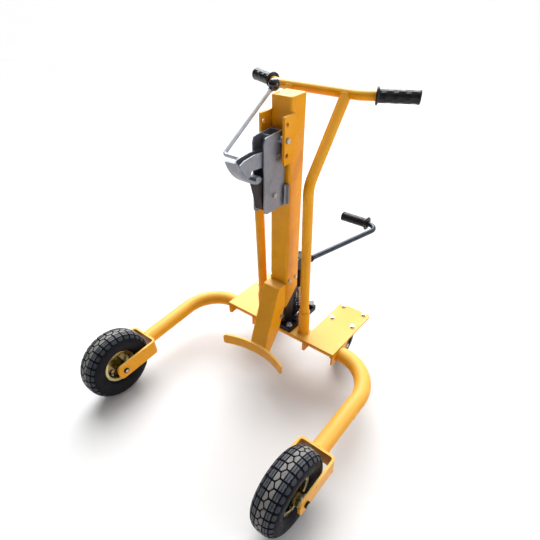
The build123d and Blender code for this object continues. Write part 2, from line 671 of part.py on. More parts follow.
def arc_band(tip, middle, end, thickness):
    """A curved strip's outline: an arc through three points, thickened on its hollow side."""
    (ax, ay), (bx, by), (cx, cy) = tip, middle, end
    d = 2 * (ax * (by - cy) + bx * (cy - ay) + cx * (ay - by))
    a2, b2, c2 = ax ** 2 + ay ** 2, bx ** 2 + by ** 2, cx ** 2 + cy ** 2
    centre = Vector((a2 * (by - cy) + b2 * (cy - ay) + c2 * (ay - by)) / d,
                    (a2 * (cx - bx) + b2 * (ax - cx) + c2 * (bx - ax)) / d)
    radius = (Vector(*tip) - centre).length
    scale = (radius - thickness) / radius
    inner = [centre + (Vector(*point) - centre) * scale for point in (tip, middle, end)]
    return make_face([ThreePointArc(tip, middle, end), Line(end, inner[2]),
                      ThreePointArc(inner[2], inner[1], inner[0]), Line(inner[0], tip)])


def beak_jaw():
    """Two cranked arms on the jaw pin, welded to a curved ramp that rides over the drum's rim."""
    outline = [(40, 822), (95, 822), (137, 826), (146, 811), (156, 811), (184, 846), (181, 853),
               (163, 860), (121, 863), (95, 861), (40, 850)]
    arm = side_plate(outline, JAW_ARM_OUT - JAW_ARM_T, JAW_ARM_OUT)
    y, z = ahead(JAW_PIN)
    arm += rod_x(14, JAW_ARM_OUT - JAW_ARM_T, JAW_ARM_OUT, y, z)
    arm += rod_x(9, 0, HOUSING_OUT - HOUSING_T - 0.3, y, z)
    jaw = arm + mirror(arm, Plane.YZ)
    tip, middle, end = (COLUMN_FRONT - 204, 866), (COLUMN_FRONT - 177, 820), (COLUMN_FRONT - 129, 789)
    band = extrude(Plane.YZ.offset(-RAMP_HALF_W) * arc_band(tip, middle, end, RAMP_T),
                   2 * RAMP_HALF_W, dir=(1, 0, 0))
    window = block(-RAMP_HALF_W, RAMP_HALF_W, COLUMN_FRONT - 260, COLUMN_FRONT - 100, 760, 868)
    top_corners = window.edges().filter_by(Axis.Y).group_by(Axis.Z)[-1]
    jaw += band & fillet(top_corners, 9)
    return jaw - rod_x(PIN_R + PIN_GAP, -30, 30, y, z)


def release_rod():
    """A round rod from the left jaw arm, out to the side and up to the ball knob."""
    root = (-JAW_ARM_OUT - WELD_GAP, ROD_BEND[1], ROD_BEND[2])
    knob = Vector(*KNOB_CENTRE)
    along = (knob - Vector(*ROD_BEND)).normalized()
    end = knob - along * (KNOB_R - 4)
    path = FilletPolyline(root, ROD_BEND, (end.X, end.Y, end.Z), radius=9)
    return swept(path, ROD_WIRE_R)


def ball_knob():
    along = Vector(*KNOB_CENTRE) - Vector(*ROD_BEND)
    axis = Plane(origin=KNOB_CENTRE, z_dir=along.normalized())
    ball = Sphere(KNOB_R) + Pos(0, 0, -KNOB_R) * Cylinder(ROD_WIRE_R + 2, 8)
    return axis * (ball - Pos(0, 0, -KNOB_R - 6) * Cylinder(ROD_WIRE_R, 20))


def lower_jaw():
    """A lever on the lower pin with a catch block under the drum's rim."""
    outline = [(118, 784), (93, 700), (76, 692), (53, 719), (41, 731), (53, 743), (92, 792),
               (104, 797)]
    cheek = side_plate(outline, 9, 13)
    lever = cheek + mirror(cheek, Plane.YZ)
    lever += side_plate([(118, 784), (93, 700), (87, 702), (112, 786)], -13, 13)
    lever += side_plate([(104, 786), (104, 801), (122, 803), (124, 789), (118, 784)], -14, 14)
    y, z = ahead(LOWER_PIN)
    lever += rod_x(12, -15.7, 15.7, y, z)
    return lever - rod_x(PIN_R + PIN_GAP, -30, 30, y, z)


# ---------------------------------------------------------------- foot pump
def pump_base():
    """Valve block bolted to the deck, with the pump barrel under it and the spring's seat."""
    base = block(-BASE_HALF_W, BASE_HALF_W, BASE_FRONT, BASE_REAR, DECK_TOP + 0.02, BASE_TOP)
    base = fillet(base.edges().filter_by(Axis.Z), 5)
    base = chamfer(base.faces().sort_by(Axis.Z)[-1].edges(), 1.5)
    base += rod_z(18, 0, PLUNGER_Y, BARREL_LOW, BASE_TOP)
    base += rod_z(15, 0, PLUNGER_Y, BASE_TOP - 1, SPRING_LOW)
    base -= rod_z(PLUNGER_R + PLUNGER_GAP, 0, PLUNGER_Y, BARREL_LOW + 8, SPRING_LOW + 5)
    base -= rod_z(4.06, *VALVE, BASE_TOP - 14, BASE_TOP + 5)
    for x, y in pump_bolt_places():
        base -= rod_z(PUMP_SCREW_R, x, y, DECK_TOP - 5, BASE_TOP + 5)
    return base


def pump_bracket():
    """The post behind the column that carries the pedal's pivot."""
    y, z = PEDAL_PIVOT
    post = block(-10, 10, y - 13, y + 15, BASE_TOP + 0.02, z)
    post += rod_x(14, -10, 10, y, z)
    post += block(-22, 22, y - 16, y + 22, BASE_TOP + 0.02, BASE_TOP + 8)
    return post - rod_x(6.02, -20, 20, y, z)


def pedal_pivot_pin():
    y, z = PEDAL_PIVOT
    pin = rod_x(6, -20, 20, y, z)
    for end in (-1, 1):
        pin += hex_x(16, end * 17.6, end * 23, y, z)
    return pin


def pedal_head():
    """Two cheeks on the pivot that carry the roller and the socket of the pedal bar."""
    pivot_y, pivot_z = PEDAL_PIVOT
    outline = [(-73, 438), (-82, 444), (-146, 440), (-150, 428), (-150, 398), (-118, 386),
               (-77, 412)]
    cheek = side_plate(outline, 11, 17)
    cheek -= rod_x(6.05, 0, 40, pivot_y, pivot_z)
    cheek -= rod_x(5.02, 0, 40, *ROLLER)
    head = cheek + mirror(cheek, Plane.YZ)
    head += block(-11.5, 11.5, COLUMN_FRONT + 112, COLUMN_FRONT + 146, 421, 439)
    head += side_plate([(-141, 432), (-150, 428), (-150, 398), (-141, 394)], -12, 12)
    along = Vector(*PEDAL_BEND) - Vector(*PEDAL_ROOT)
    boss = Plane(origin=PEDAL_ROOT, z_dir=along.normalized())
    head += boss * Pos(0, 0, 17) * Cylinder(PEDAL_BAR_R + 4, 22)
    return head - boss * Pos(0, 0, 60) * Cylinder(PEDAL_BAR_R + 0.01, 100)


def pedal_roller():
    """Roller with its pin; it presses on the plunger's top."""
    roller = rod_x(ROLLER_R, -10.6, 10.6, *ROLLER)
    pin = rod_x(5, -18, 18, *ROLLER)
    for end in (-1, 1):
        pin += rod_x(7.5, end * 17.1, end * 20, *ROLLER)
    return roller + pin


def pedal_path():
    along = (Vector(*PEDAL_BEND) - Vector(*PEDAL_ROOT)).normalized()
    root = Vector(*PEDAL_ROOT) + along * 10.2
    return FilletPolyline((root.X, root.Y, root.Z), PEDAL_BEND,
                          (PEDAL_GRIP_RANGE[0] + 4, PEDAL_BEND[1], PEDAL_BEND[2]),
                          radius=PEDAL_BEND_R)


def pedal_grip():
    _, y, z = PEDAL_BEND
    low, high = PEDAL_GRIP_RANGE
    sleeve = rod_x(PEDAL_GRIP_R, low, high, y, z) + rod_x(PEDAL_FLANGE_R, high - 6, high, y, z)
    return sleeve - rod_x(PEDAL_BAR_R, low + 4, high + 5, y, z)


def plunger():
    """Pump plunger with the push sleeve on its top, up to the roller."""
    top = ROLLER[1] - ROLLER_R - 0.3
    rod = rod_z(PLUNGER_R, 0, PLUNGER_Y, BARREL_LOW + 27, SPRING_HIGH)
    rod += rod_z(6, 0, PLUNGER_Y, SPRING_HIGH - 1, SLEEVE_LOW + 1)
    sleeve = rod_z(10.5, 0, PLUNGER_Y, SLEEVE_LOW, top)
    return rod + fillet(sleeve.edges().filter_by(GeomType.CIRCLE), 2)


def spring_cap():
    """Washer on the spring's top, with the nut that sets it."""
    hole = rod_z(6.02, 0, PLUNGER_Y, 280, 360)
    cap = rod_z(14, 0, PLUNGER_Y, SPRING_HIGH + 0.1, SPRING_HIGH + 4) - hole
    nut = hex_z(19, 0, PLUNGER_Y, SPRING_HIGH + 4.02, SLEEVE_LOW - 0.1) - hole
    return [cap, nut]


def return_spring():
    height = SPRING_HIGH - SPRING_LOW - 2 * SPRING_WIRE_R - 0.4
    path = Helix(height / SPRING_TURNS, height, SPRING_R)
    section = Plane(origin=path @ 0, z_dir=path % 0) * Circle(SPRING_WIRE_R)
    coil = sweep(section, path=path, is_frenet=True)
    return Pos(0, PLUNGER_Y, SPRING_LOW + SPRING_WIRE_R + 0.2) * coil


def release_knob():
    """Valve spindle with a lobed hand knob."""
    x, y = VALVE
    knob = rod_z(4, x, y, BASE_TOP - 12, BASE_TOP + 8) + rod_z(7, x, y, BASE_TOP + 1, BASE_TOP + 7)
    knob += rod_z(11, x, y, BASE_TOP + 7, BASE_TOP + 16)
    for index in range(3):
        angle = math.radians(90 + 120 * index)
        knob += rod_z(4.5, x + 11 * math.cos(angle), y + 11 * math.sin(angle),
                      BASE_TOP + 7, BASE_TOP + 16)
    return knob


def pump_fittings():
    """Pressure pipe with its two unions, and the oil filler plug."""
    line_z = BASE_TOP + 9
    pipe = FilletPolyline((33, COLUMN_FRONT + 72, BASE_TOP + 0.02), (33, COLUMN_FRONT + 72, line_z),
                          (35, COLUMN_FRONT + 128, line_z),
                          (35, COLUMN_FRONT + 128, BASE_TOP + 0.02), radius=5)
    line = swept(pipe, 3)
    shapes = []
    for x, y in ((33, COLUMN_FRONT + 72), (35, COLUMN_FRONT + 128)):
        line += rod_z(5.5, x, y, BASE_TOP + 0.02, BASE_TOP + 3)
    shapes.append(line)
    plug = hex_z(14, -38, COLUMN_FRONT + 148, BASE_TOP + 0.02, BASE_TOP + 8)
    shapes.append(plug + rod_z(9, -38, COLUMN_FRONT + 148, BASE_TOP + 0.02, BASE_TOP + 2.5))
    return shapes


def build():
    keep("cross_tube", cross_tube())
    deck()
    keep("gussets", gussets())
    for name, side in SIDES:
        keep(f"{name}_leg_tube", leg_tube(side))
        keep(f"{name}_wheel_fork", wheel_fork(side))
        keep(f"{name}_upright", upright(side))
        keep(f"{name}_grip", grip(side))
        front_wheel(name, side)
    keep("upright_sockets", both_sides(socket()))
    keep("handlebar", swept(handle_path(), BAR_R, 2.5))
    axles()
    casters()
    keep("deck_bolts", deck_bolts())
    keep("inner_mast", inner_mast())
    keep("lift_cylinder", lift_cylinder())
    keep("lift_column", lift_column())
    keep("belly_arm", belly_arm())
    keep("belly_plate", belly_plate())
    keep("gripper_brackets", both_sides(gripper_bracket()))
    keep("column_bolts", column_bolts())
    keep("guide_pads", guide_pads())
    keep("piston_rod", piston_rod())
    keep("gripper_housing", gripper_housing())
    keep("rear_channel", rear_channel())
    keep("gripper_pins", gripper_pins())
    keep("beak_jaw", beak_jaw())
    keep("release_rod", release_rod())
    keep("ball_knob", ball_knob())
    keep("lower_jaw", lower_jaw())
    keep("pump_base", pump_base())
    keep("pump_bracket", pump_bracket())
    keep("pump_fittings", pump_fittings())
    keep("pedal_pivot_pin", pedal_pivot_pin())
    keep("pedal_head", pedal_head())
    keep("pedal_roller", pedal_roller())
    keep("pedal_bar", swept(pedal_path(), PEDAL_BAR_R))
    keep("pedal_grip", pedal_grip())
    keep("plunger", plunger())
    keep("spring_cap", spring_cap())
    keep("return_spring", return_spring())
    keep("release_knob", release_knob())


build()
os.makedirs("parts", exist_ok=True)
for node, shape in parts.items():
    export_step(shape, f"parts/{node}.step")
print(len(parts), "nodes")
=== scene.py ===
"""Looks for the hydraulic drum truck: materials, detailed pieces, lights and camera."""
import json
import math

import bmesh
import bpy
from mathutils import Matrix, Vector


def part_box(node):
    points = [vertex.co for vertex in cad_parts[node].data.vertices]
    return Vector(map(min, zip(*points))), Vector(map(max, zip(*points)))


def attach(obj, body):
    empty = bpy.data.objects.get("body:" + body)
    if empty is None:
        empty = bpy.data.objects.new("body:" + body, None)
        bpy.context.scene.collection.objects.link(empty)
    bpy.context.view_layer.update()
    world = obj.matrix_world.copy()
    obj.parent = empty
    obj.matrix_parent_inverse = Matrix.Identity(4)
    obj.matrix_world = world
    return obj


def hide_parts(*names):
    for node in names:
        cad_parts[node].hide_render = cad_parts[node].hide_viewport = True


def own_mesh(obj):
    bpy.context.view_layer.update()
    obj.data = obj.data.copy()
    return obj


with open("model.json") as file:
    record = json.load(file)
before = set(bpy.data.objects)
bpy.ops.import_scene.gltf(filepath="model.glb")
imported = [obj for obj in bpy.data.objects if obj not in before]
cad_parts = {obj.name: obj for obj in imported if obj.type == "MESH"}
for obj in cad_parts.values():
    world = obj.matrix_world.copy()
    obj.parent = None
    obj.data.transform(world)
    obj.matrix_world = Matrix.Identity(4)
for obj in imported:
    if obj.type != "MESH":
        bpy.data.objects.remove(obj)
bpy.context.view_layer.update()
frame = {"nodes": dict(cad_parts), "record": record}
nodes = frame["nodes"]
SIDES = (("left", -1), ("right", 1))
MM = 0.001


def centre_of(node):
    low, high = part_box(node)
    return (low + high) / 2


# ---------------------------------------------------------------- node helpers
def new_material(name):
    """An empty node material with its Principled shader."""
    material = bpy.data.materials.new(name)
    material.use_nodes = True
    return material, material.node_tree, material.node_tree.nodes["Principled BSDF"]


def object_coordinates(tree, stretch=(1, 1, 1)):
    """Object-space position in metres, stretched along the axes."""
    place = tree.nodes.new("ShaderNodeTexCoord")
    mapping = tree.nodes.new("ShaderNodeMapping")
    mapping.inputs["Scale"].default_value = stretch
    tree.links.new(place.outputs["Object"], mapping.inputs["Vector"])
    return mapping.outputs["Vector"]


def noise(tree, scale, detail=3.0, stretch=(1, 1, 1), rough=0.55):
    texture = tree.nodes.new("ShaderNodeTexNoise")
    texture.inputs["Scale"].default_value = scale
    texture.inputs["Detail"].default_value = detail
    texture.inputs["Roughness"].default_value = rough
    tree.links.new(object_coordinates(tree, stretch), texture.inputs["Vector"])
    return texture.outputs["Fac"]


def ramp(tree, source, stops):
    """A colour ramp: stops are (position, colour)."""
    node = tree.nodes.new("ShaderNodeValToRGB")
    elements = node.color_ramp.elements
    while len(elements) < len(stops):
        elements.new(0.5)
    for element, (position, colour) in zip(elements, stops):
        element.position = position
        element.color = (*colour, 1)
    tree.links.new(source, node.inputs["Fac"])
    return node.outputs["Color"]


def spread(tree, source, low, high, start=0.3, end=0.7):
    """Maps a 0 to 1 value onto low to high."""
    node = tree.nodes.new("ShaderNodeMapRange")
    ranges = {"From Min": start, "From Max": end, "To Min": low, "To Max": high}
    for socket, value in ranges.items():
        node.inputs[socket].default_value = value
    tree.links.new(source, node.inputs["Value"])
    return node.outputs["Result"]


MIX_COLOUR_INPUTS = (0, 6, 7)   # the Mix node's factor and its two colours
MIX_COLOUR_OUTPUT = 2
FACING_UP = (0.30, 0.95)        # the normal's Z where the painted top highlight starts and is full


def painted_top_highlight(tree, colour, pale):
    """Painted highlight: fades the colour towards a paler one where the surface faces up."""
    geometry = tree.nodes.new("ShaderNodeNewGeometry")
    axes = tree.nodes.new("ShaderNodeSeparateXYZ")
    tree.links.new(geometry.outputs["Normal"], axes.inputs["Vector"])
    blend = tree.nodes.new("ShaderNodeMix")
    blend.data_type = "RGBA"
    factor, first, second = (blend.inputs[index] for index in MIX_COLOUR_INPUTS)
    tree.links.new(spread(tree, axes.outputs["Z"], 0.0, 1.0, *FACING_UP), factor)
    tree.links.new(colour, first)
    second.default_value = (*pale, 1)
    return blend.outputs[MIX_COLOUR_OUTPUT]


def surface_normal(tree, shader, height, strength, distance, edge):
    """Bump over softly rounded edges."""
    bump = tree.nodes.new("ShaderNodeBump")
    bump.inputs["Strength"].default_value = strength
    bump.inputs["Distance"].default_value = distance
    tree.links.new(height, bump.inputs["Height"])
    if edge:
        rounded = tree.nodes.new("ShaderNodeBevel")
        rounded.samples = 4
        rounded.inputs["Radius"].default_value = edge
        tree.links.new(rounded.outputs["Normal"], bump.inputs["Normal"])
    tree.links.new(bump.outputs["Normal"], shader.inputs["Normal"])


TONE_START, TONE_SPAN = 0.32, 0.36   # where noise values turn into tones
SMEAR_SCALE = 2.7                    # uneven gloss is this much finer than the tones


def finish(name, tones, rough, metallic=0.0, tone_scale=14.0, stretch=(1, 1, 1), grain=600.0,
           bump=0.08, depth=0.0004, edge=0.0, coat=0.0, coat_rough=0.1, specular=0.5, pale=None):
    """One finish: mottled tones, uneven gloss and a fine surface grain.

    rough is the lowest and highest roughness; depth and edge (the rounded edges' radius) are in
    metres; pale is the colour of a painted highlight on surfaces that face up.
    """
    material, tree, shader = new_material(name)
    positions = [TONE_START + TONE_SPAN * index / (len(tones) - 1) for index in range(len(tones))]
    patches = noise(tree, tone_scale, 4.0, stretch)
    colour = ramp(tree, patches, list(zip(positions, tones)))
    # Painted highlight: up-facing surfaces take the paler colour.
    if pale:
        colour = painted_top_highlight(tree, colour, pale)
    tree.links.new(colour, shader.inputs["Base Color"])
    smears = noise(tree, tone_scale * SMEAR_SCALE, 5.0, stretch)
    tree.links.new(spread(tree, smears, *rough), shader.inputs["Roughness"])
    shader.inputs["Metallic"].default_value = metallic
    shader.inputs["Coat Weight"].default_value = coat
    shader.inputs["Coat Roughness"].default_value = coat_rough
    shader.inputs["Specular IOR Level"].default_value = specular
    surface_normal(tree, shader, noise(tree, grain, 2.0, stretch), bump, depth, edge)
    return material


# ---------------------------------------------------------------- materials
looks = {
    # The yellow paint's pale colour is a painted highlight on up-facing surfaces.
    "yellow_paint": finish("yellow_powder_coat", [(0.78, 0.315, 0.003), (0.86, 0.360, 0.005),
                           (0.82, 0.338, 0.004)], (0.25, 0.36), grain=420, bump=0.10, depth=0.0003,
                           edge=0.0022, specular=0.20, tone_scale=9, pale=(0.92, 0.52, 0.10)),
    "silver_paint": finish("silver_grey_paint", [(0.20, 0.21, 0.245), (0.25, 0.26, 0.295),
                           (0.22, 0.23, 0.265)], (0.34, 0.48), metallic=0.45, grain=900, bump=0.12,
                           depth=0.0003, edge=0.0009, tone_scale=30),
    "black_paint": finish("satin_black_paint", [(0.005, 0.005, 0.007), (0.011, 0.010, 0.013)],
                          (0.28, 0.44), grain=500, bump=0.12, depth=0.0003, edge=0.0010,
                          specular=0.15, tone_scale=25),
    "black_steel": finish("black_oxide", [(0.012, 0.007, 0.009), (0.026, 0.016, 0.018)],
                          (0.34, 0.5), metallic=0.1, specular=0.25, grain=700, bump=0.12,
                          edge=0.0008, tone_scale=40),
    "zinc": finish("bright_zinc", [(0.36, 0.375, 0.41), (0.50, 0.51, 0.54), (0.43, 0.44, 0.475)],
                   (0.24, 0.38), metallic=1.0, grain=1100, bump=0.03, depth=0.0001, tone_scale=60),
    "bright_rod": finish("bright_steel_rod", [(0.52, 0.55, 0.60), (0.64, 0.67, 0.72)],
                         (0.36, 0.44), metallic=0.3, grain=1000, bump=0.02, depth=0.0001,
                         tone_scale=40),
    "gold_zinc": finish("yellow_zinc", [(0.56, 0.47, 0.20), (0.60, 0.48, 0.24), (0.54, 0.49, 0.23),
                        (0.62, 0.48, 0.27)], (0.22, 0.27), metallic=1.0, grain=1200, bump=0.01,
                        depth=0.0001, tone_scale=9),
    "dark_steel": finish("oiled_steel", [(0.10, 0.10, 0.10), (0.20, 0.20, 0.20)], (0.25, 0.45),
                         metallic=0.9, stretch=(1, 1, 0.05), grain=900, tone_scale=60),
    "chrome_rod": finish("hard_chrome", [(0.66, 0.67, 0.69), (0.74, 0.75, 0.77)], (0.05, 0.14),
                         metallic=1.0, stretch=(1, 1, 8), grain=900, bump=0.02, tone_scale=30),
    "steel_bar": finish("bar_steel", [(0.020, 0.026, 0.038), (0.042, 0.052, 0.072),
                        (0.028, 0.036, 0.052)], (0.24, 0.40), metallic=0.4, stretch=(1, 0.15, 1),
                        grain=900, bump=0.06, depth=0.0002, tone_scale=50),
    "spring_steel": finish("spring_wire", [(0.55, 0.56, 0.58), (0.68, 0.69, 0.71)], (0.20, 0.32),
                           metallic=1.0, grain=1200, bump=0.01, depth=0.0001, tone_scale=60),
    "knob_metal": finish("valve_knob", [(0.010, 0.010, 0.011), (0.024, 0.024, 0.026)],
                         (0.20, 0.38), edge=0.0012, grain=800, tone_scale=60),
    "knob_plastic": finish("ball_phenolic", [(0.007, 0.006, 0.009), (0.013, 0.012, 0.017)],
                           (0.07, 0.16), grain=300, bump=0.01, coat=0.5, coat_rough=0.04,
                           tone_scale=40),
    "nylon": finish("nylon", [(0.70, 0.68, 0.60), (0.78, 0.76, 0.70)], (0.4, 0.55), tone_scale=40),
    "rubber_grip": finish("grip_rubber", [(0.006, 0.006, 0.008), (0.013, 0.014, 0.018)],
                          (0.26, 0.40), grain=1500, bump=0.08, depth=0.0002, tone_scale=60,
                          specular=0.28),
    "tyre": finish("tyre_rubber", [(0.004, 0.004, 0.007), (0.009, 0.009, 0.013),
                   (0.006, 0.006, 0.009)], (0.45, 0.66), grain=900, bump=0.22, depth=0.0004,
                   tone_scale=24, specular=0.12),
    "caster_tread": finish("caster_rubber", [(0.010, 0.010, 0.011), (0.022, 0.022, 0.024)],
                           (0.40, 0.60), grain=900, bump=0.15, edge=0.001, tone_scale=40,
                           specular=0.3),
}
# Painted sheen: the block faces are lighter greys than the casing, lightest on the centre rows and
# darkest on the shoulder blocks.
centre_block_sheen = finish("tread_centre_painted_sheen", [(0.150, 0.147, 0.143), (0.235, 0.229, 0.220),
                   (0.190, 0.186, 0.181)], (0.50, 0.70), grain=1400, bump=0.25, depth=0.0004,
                   tone_scale=45, specular=0.3)
slit_block_sheen = finish("tread_slit_painted_sheen", [(0.042, 0.049, 0.060), (0.085, 0.094, 0.110),
                    (0.060, 0.069, 0.083)], (0.42, 0.62), grain=1400, bump=0.25, depth=0.0004,
                    tone_scale=45, specular=0.30)
shoulder_block_sheen = finish("tread_shoulder_painted_sheen", [(0.014, 0.017, 0.024), (0.036, 0.042, 0.054),
                       (0.022, 0.027, 0.036)], (0.42, 0.62), grain=1400, bump=0.25, depth=0.0004,
                       tone_scale=45, specular=0.25)
# Painted shade: a darker zinc for the recessed middle of each rim.
rim_bowl_painted_shade = finish("yellow_zinc_bowl_painted_shade", [(0.26, 0.20, 0.08), (0.32, 0.25, 0.11), (0.25, 0.22, 0.09),
                  (0.31, 0.23, 0.12)], (0.22, 0.28), metallic=1.0, grain=1200, bump=0.01,
                  depth=0.0001, tone_scale=9)


def paint_cad():
    """Every CAD node gets its slot's material."""
    for part in frame["record"]["subparts"]:
        for mesh_slot in nodes[part["node"]].material_slots:
            mesh_slot.material = looks[part["material_slot"]]


def second_finish(node, look, chosen):
    """Gives a second finish to the faces of a node whose middle passes the test."""
    mesh = nodes[node].data
    mesh.materials.append(look)
    for face in mesh.polygons:
        if chosen(nodes[node].matrix_world @ face.center):
            face.material_index = len(mesh.materials) - 1


BOLT_R = 6.3 * MM            # a little over the axle bolts' radius
FORK_HALF = 61 * MM          # wheel centre to the fork's outer face
NUT_T = 9 * MM
JAW_TIP = 19 * MM            # height of the lower jaw's silver tip
PUMP_FRONT = 25 * MM         # depth of the pump base's front part
PUMP_HALF = 60 * MM
BOWL_R = 52 * MM             # radius of the rim's middle that gets painted shade


def accents():
    """Second finishes: axle nuts, lower jaw's tip, push sleeve, rear pump screws, and painted
    shade in the rim bowls.
    """
    axles = {name: centre_of(f"{name}_tyre") for name, _ in SIDES}

    def from_axle(point, axle):
        return math.hypot(point.y - axle.y, point.z - axle.z)

    def on_nut(point):
        return any(FORK_HALF < point.x - axle.x < FORK_HALF + NUT_T
                   and from_axle(point, axle) > BOLT_R for axle in axles.values())
    second_finish("axle_hardware", looks["black_paint"], on_nut)
    tip_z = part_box("lower_jaw")[1].z - JAW_TIP
    second_finish("lower_jaw", looks["silver_paint"], lambda point: point.z > tip_z)
    sleeve_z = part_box("spring_cap")[1].z
    second_finish("plunger", looks["black_steel"], lambda point: point.z > sleeve_z)
    rear_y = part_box("pump_base")[0].y + PUMP_FRONT
    second_finish("deck_bolts", looks["black_paint"],
                  lambda point: abs(point.x) < PUMP_HALF and point.y > rear_y)
    # Painted shade: the middle of each rim is darkened.
    for name, axle in axles.items():
        second_finish(f"{name}_rim", rim_bowl_painted_shade,
                      lambda point, axle=axle: from_axle(point, axle) < BOWL_R)


# ---------------------------------------------------------------- mesh helpers
class Shape:
    """Points and faces gathered into one mesh, with a material number for each face."""

    def __init__(self):
        self.points = []
        self.faces = []
        self.numbers = []
        self.smooth = []

    def ring(self, points):
        """Adds points and returns their indices."""
        start = len(self.points)
        self.points += [tuple(point) for point in points]
        return list(range(start, len(self.points)))

    def face(self, corners, number=0, smooth=True):
        self.faces.append(corners)
        self.numbers.append(number)
        self.smooth.append(smooth)

    def bridge(self, first, second, closed=True, number=0, smooth=True):
        """Quads between two rings of the same length."""
        count = len(first)
        for index in range(count if closed else count - 1):
            after = (index + 1) % count
            self.face((first[index], first[after], second[after], second[index]), number, smooth)

    def build(self, name, place, materials, body, replaced=()):
        """Makes the object, puts it in place and gives it its body and materials."""
        mesh = bpy.data.meshes.new(name)
        mesh.from_pydata([place @ Vector(point) for point in self.points], [], self.faces)
        for material in materials:
            mesh.materials.append(material)
        mesh.polygons.foreach_set("material_index", self.numbers)
        mesh.polygons.foreach_set("use_smooth", self.smooth)
        mesh.update()
        piece = bpy.data.objects.new(name, mesh)
        bpy.context.collection.objects.link(piece)
        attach(piece, body)
        if replaced:
            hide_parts(*replaced)
        return piece


def facing(origin, z_axis, x_hint):
    """A placement at origin with its Z along z_axis, and X as near x_hint as it can be."""
    z = Vector(z_axis).normalized()
    y = z.cross(Vector(x_hint)).normalized()
    rotation = Matrix((y.cross(z), y, z)).transposed().to_4x4()
    return Matrix.Translation(origin) @ rotation


def lathe(shape, profile, around=64, closed_profile=False, number=0):
    """Turns (distance along Z, radius) points about Z. A radius of 0 makes one point."""
    rings = []
    for along, radius in profile:
        if radius == 0:
            rings.append(shape.ring([(0, 0, along)]) * around)
            continue
        angles = [2 * math.pi * index / around for index in range(around)]
        rings.append(shape.ring([(radius * math.cos(a), radius * math.sin(a), along)
                                 for a in angles]))
    if closed_profile:
        rings.append(rings[0])
    for first, second in zip(rings, rings[1:]):
        for index in range(around):
            after = (index + 1) % around
            corners = []
            for corner in (first[index], first[after], second[after], second[index]):
                if corner not in corners:
                    corners.append(corner)
            if len(corners) > 2:
                shape.face(tuple(corners), number)


# ---------------------------------------------------------------- tyres
TYRE_R = 130 * MM
BULGE_R = 93 * MM            # radius where the casing is widest
HALF_WIDTH = 43 * MM
CROWN_POWER = 2.6            # 2 is an ellipse, more is squarer
TREAD_DEPTH = 4.2 * MM
TREAD_ROOT = 0.6 * MM        # how far a block goes into the casing
CHAMFER = 0.4 * MM           # height of a block's bevelled edge
FOOT_SCALE, RIM_SCALE, INNER_SCALE = 1.07, 0.965, 0.5   # a block's outline at each ring
PITCHES = 29                 # blocks round the wheel


def crown_point(turn):
    """(across, radius) on the casing's outer half: 0 is the crown, 1 the widest place."""
    angle = turn * math.pi / 2
    across = HALF_WIDTH * math.sin(angle) ** (2 / CROWN_POWER)
    radius = BULGE_R + (TYRE_R - BULGE_R) * math.cos(angle) ** (2 / CROWN_POWER)
    return Vector((across, radius))


def crown_table(steps=400):
    """The crown's curve with the distance run along it from the middle."""
    run = 0.0
    last = crown_point(0)
    rows = [(0.0, last)]
    for step in range(1, steps + 1):
        point = crown_point(step / steps)
        run += (point - last).length
        rows.append((run, point))
        last = point
    return rows


CROWN = crown_table()


def on_crown(run):
    """(point, outward direction) on the casing at a distance from the middle, either side."""
    distance = abs(run)
    index = 1
    while index < len(CROWN) - 1 and CROWN[index][0] < distance:
        index += 1
    (run_a, a), (run_b, b) = CROWN[index - 1], CROWN[index]
    share = min(1.0, max(0.0, (distance - run_a) / (run_b - run_a)))
    point = a.lerp(b, share)
    along = (b - a).normalized()
    outward = Vector((-along.y, along.x))
    if outward.y < 0:
        outward = -outward
    if run < 0:
        point.x, outward.x = -point.x, -outward.x
    return point, outward


def on_tread(run, turn, height):
    """A point on the tread: run is across it, turn the angle round the wheel, height outwards."""
    point, outward = on_crown(run)
    across, radius = point + outward * height
    return (radius * math.cos(turn), radius * math.sin(turn), across)


def tread_block(shape, outline, turn, number):
    """A rubber block. The outline is (across in metres, along in pitches) about the turn."""
    pitch = 2 * math.pi / PITCHES
    middle_run = sum(run for run, _ in outline) / len(outline)
    middle_along = sum(along for _, along in outline) / len(outline)

    def ring(scale, height):
        return shape.ring([on_tread(middle_run + (run - middle_run) * scale,
                                    turn + pitch * (middle_along + (along - middle_along) * scale),
                                    height) for run, along in outline])
    foot = ring(FOOT_SCALE, -TREAD_DEPTH - TREAD_ROOT)
    wall = ring(1.0, -CHAMFER)
    rim = ring(RIM_SCALE, 0)
    shape.bridge(foot, wall, number=0, smooth=False)
    shape.bridge(wall, rim, number=number, smooth=False)
    edge = ring(RIM_SCALE, 0)
    inner = ring(INNER_SCALE, 0)
    shape.bridge(edge, inner, number=number)
    shape.face(tuple(inner), number)


def tread(shape):
    """Two interlocked rows in the middle, slit blocks beside them, rounded shoulder blocks.

    Outlines are (across in mm, along in pitches). One side is half a pitch on from the other.
    """
    pitch = 2 * math.pi / PITCHES
    centre = [(-0.8, -0.07), (4.6, -0.41), (11.2, -0.41), (11.2, 0.41), (4.6, 0.41), (-0.8, 0.07)]
    slit = [[(14.6, -0.40), (20.0, -0.40), (20.0, 0.40), (14.6, 0.40)],
            [(21.4, -0.40), (26.8, -0.40), (28.2, -0.16), (26.8, 0.05), (28.2, 0.25), (26.8, 0.40),
             (21.4, 0.40)]]
    shoulder = [(31.2, -0.20), (33.4, -0.38), (40.6, -0.36), (44.0, -0.22), (44.0, 0.22),
                (40.6, 0.36), (33.4, 0.38), (31.2, 0.20)]
    # Material numbers 1 to 3 give the block faces their painted-sheen greys.
    rows = [(centre, 1)] + [(half, 2) for half in slit] + [(shoulder, 3)]
    for outline, number in rows:
        for side, shift in ((1, 0.0), (-1, 0.5)):
            placed = [(side * run * MM, along) for run, along in outline]
            for index in range(PITCHES):
                tread_block(shape, placed, pitch * (index + shift), number)


